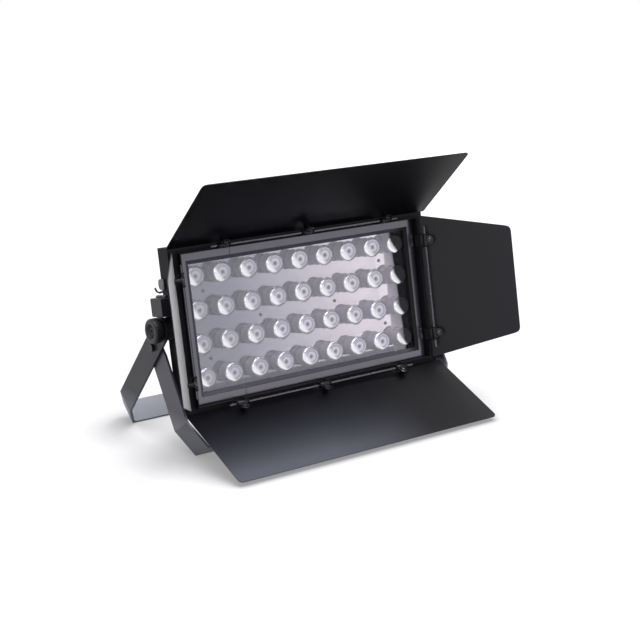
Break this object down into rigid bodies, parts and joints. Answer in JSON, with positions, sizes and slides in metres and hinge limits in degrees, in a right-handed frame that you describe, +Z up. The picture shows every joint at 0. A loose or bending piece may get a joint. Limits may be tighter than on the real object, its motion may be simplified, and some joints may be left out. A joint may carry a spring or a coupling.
{
  "type": "led wash light",
  "caption": "Rectangular LED wash light with a grid of lenses behind glass, four barn doors, and a double yoke that opens as a floor stand.",
  "frame": {"origin": "under the middle of the whole lamp, on the floor that its yokes stand on", "axes": "+X to the right of someone facing the lenses, +Y to the back of the lamp, +Z up"},
  "size_m": [0.7074, 0.391, 0.4605],
  "materials": {
    "grey_coat": "dark grey powder coat",
    "black_leaf": "satin black paint",
    "hinge_steel": "black coated steel",
    "bezel_coat": "grey anodised",
    "black_case": "black powder coat",
    "sink_aluminium": "black anodised",
    "polished_plate": "satin polished",
    "front_glass": "clear, smooth",
    "gasket_rubber": "matt",
    "lens_holder": "black holder with clear lens",
    "dark_steel": "dark zinc",
    "supply_can": "sheet can over light electronics",
    "circuit_board": "green board",
    "display_plastic": "smoked window",
    "black_plastic": "black moulded plastic"
  },
  "bodies": {
    "main_yoke_body": {"main_yoke": "grey_coat", "stand_bolt_left": "dark_steel", "stand_bolt_right": "dark_steel"},
    "stand_yoke_body": {"stand_yoke": "grey_coat"},
    "head_body": {"frame_bracket_left": "grey_coat", "spring_clip_left": "dark_steel", "frame_bracket_right": "grey_coat", "spring_clip_right": "dark_steel", "front_frame": "grey_coat", "bezel": "bezel_coat", "glass_gasket": "gasket_rubber", "front_glass": "front_glass", "tray": "black_case", "reflector_plate": "polished_plate", "led_row_1": "lens_holder", "led_row_2": "lens_holder", "led_row_3": "lens_holder", "led_row_4": "lens_holder", "heat_sink": "sink_aluminium", "driver_case": "black_case", "power_supply": "supply_can", "control_unit": "circuit_board", "display_window": "display_plastic", "power_inlet": "black_plastic", "power_outlet": "black_plastic", "signal_inlet": "black_plastic", "signal_outlet": "black_plastic", "safety_eye": "dark_steel", "hinge_rod_top": "dark_steel", "hinge_rod_bottom": "dark_steel", "hinge_rod_right": "dark_steel", "hinge_rod_left": "dark_steel", "pivot_hub_left": "black_plastic", "pivot_hub_right": "black_plastic"},
    "top_door": {"leaf_top": "black_leaf", "clip_top_1": "hinge_steel", "clip_top_2": "hinge_steel", "clip_top_3": "hinge_steel"},
    "bottom_door": {"leaf_bottom": "black_leaf", "clip_bottom_1": "hinge_steel", "clip_bottom_2": "hinge_steel", "clip_bottom_3": "hinge_steel"},
    "left_door": {"leaf_left": "black_leaf", "clip_left_1": "hinge_steel", "clip_left_2": "hinge_steel"},
    "right_door": {"leaf_right": "black_leaf", "clip_right_1": "hinge_steel", "clip_right_2": "hinge_steel"},
    "knob_left_body": {"knob_left": "black_plastic"},
    "knob_right_body": {"knob_right": "black_plastic"},
    "button_1_body": {"button_1": "black_plastic"},
    "button_2_body": {"button_2": "black_plastic"},
    "button_3_body": {"button_3": "black_plastic"},
    "button_4_body": {"button_4": "black_plastic"}
  },
  "joints": [
    {"name": "head_tilt", "type": "hinge", "parent": "main_yoke_body", "child": "head_body", "pos_m": [-0.00913, 0.01879, 0.206], "axis": [1, 0, 0], "range_deg": [-50, 0.6]},
    {"name": "stand_fold", "type": "hinge", "parent": "main_yoke_body", "child": "stand_yoke_body", "pos_m": [-0.00913, 0.04679, 0.1695], "axis": [1, 0, 0], "range_deg": [-0.7, 71]},
    {"name": "top_door_hinge", "type": "hinge", "parent": "head_body", "child": "top_door", "pos_m": [-0.00913, 0.00125, 0.33588], "axis": [-1, 0, 0], "range_deg": [-89.3, 17.7]},
    {"name": "bottom_door_hinge", "type": "hinge", "parent": "head_body", "child": "bottom_door", "pos_m": [-0.00913, -0.0488, 0.0784], "axis": [1, 0, 0], "range_deg": [-87.2, 5]},
    {"name": "left_door_hinge", "type": "hinge", "parent": "head_body", "child": "left_door", "pos_m": [-0.26013, -0.02377, 0.20714], "axis": [0, -0.1908, -0.9816], "range_deg": [-122.5, 17.5]},
    {"name": "right_door_hinge", "type": "hinge", "parent": "head_body", "child": "right_door", "pos_m": [0.24187, -0.02377, 0.20714], "axis": [0, 0.1908, 0.9816], "range_deg": [-131.7, 8.3]},
    {"name": "knob_left_turn", "type": "hinge", "parent": "head_body", "child": "knob_left_body", "pos_m": [-0.29413, 0.01879, 0.206], "axis": [-1, 0, 0], "continuous": true},
    {"name": "knob_right_turn", "type": "hinge", "parent": "head_body", "child": "knob_right_body", "pos_m": [0.27587, 0.01879, 0.206], "axis": [1, 0, 0], "continuous": true},
    {"name": "button_1_press", "type": "slide", "parent": "head_body", "child": "button_1_body", "axis": [0, -0.9816, 0.1908], "range_m": [0, 0.0015], "stiffness_N_per_m": 400, "springref_m": -0.001},
    {"name": "button_2_press", "type": "slide", "parent": "head_body", "child": "button_2_body", "axis": [0, -0.9816, 0.1908], "range_m": [0, 0.0015], "stiffness_N_per_m": 400, "springref_m": -0.001},
    {"name": "button_3_press", "type": "slide", "parent": "head_body", "child": "button_3_body", "axis": [0, -0.9816, 0.1908], "range_m": [0, 0.0015], "stiffness_N_per_m": 400, "springref_m": -0.001},
    {"name": "button_4_press", "type": "slide", "parent": "head_body", "child": "button_4_body", "axis": [0, -0.9816, 0.1908], "range_m": [0, 0.0015], "stiffness_N_per_m": 400, "springref_m": -0.001}
  ]
}
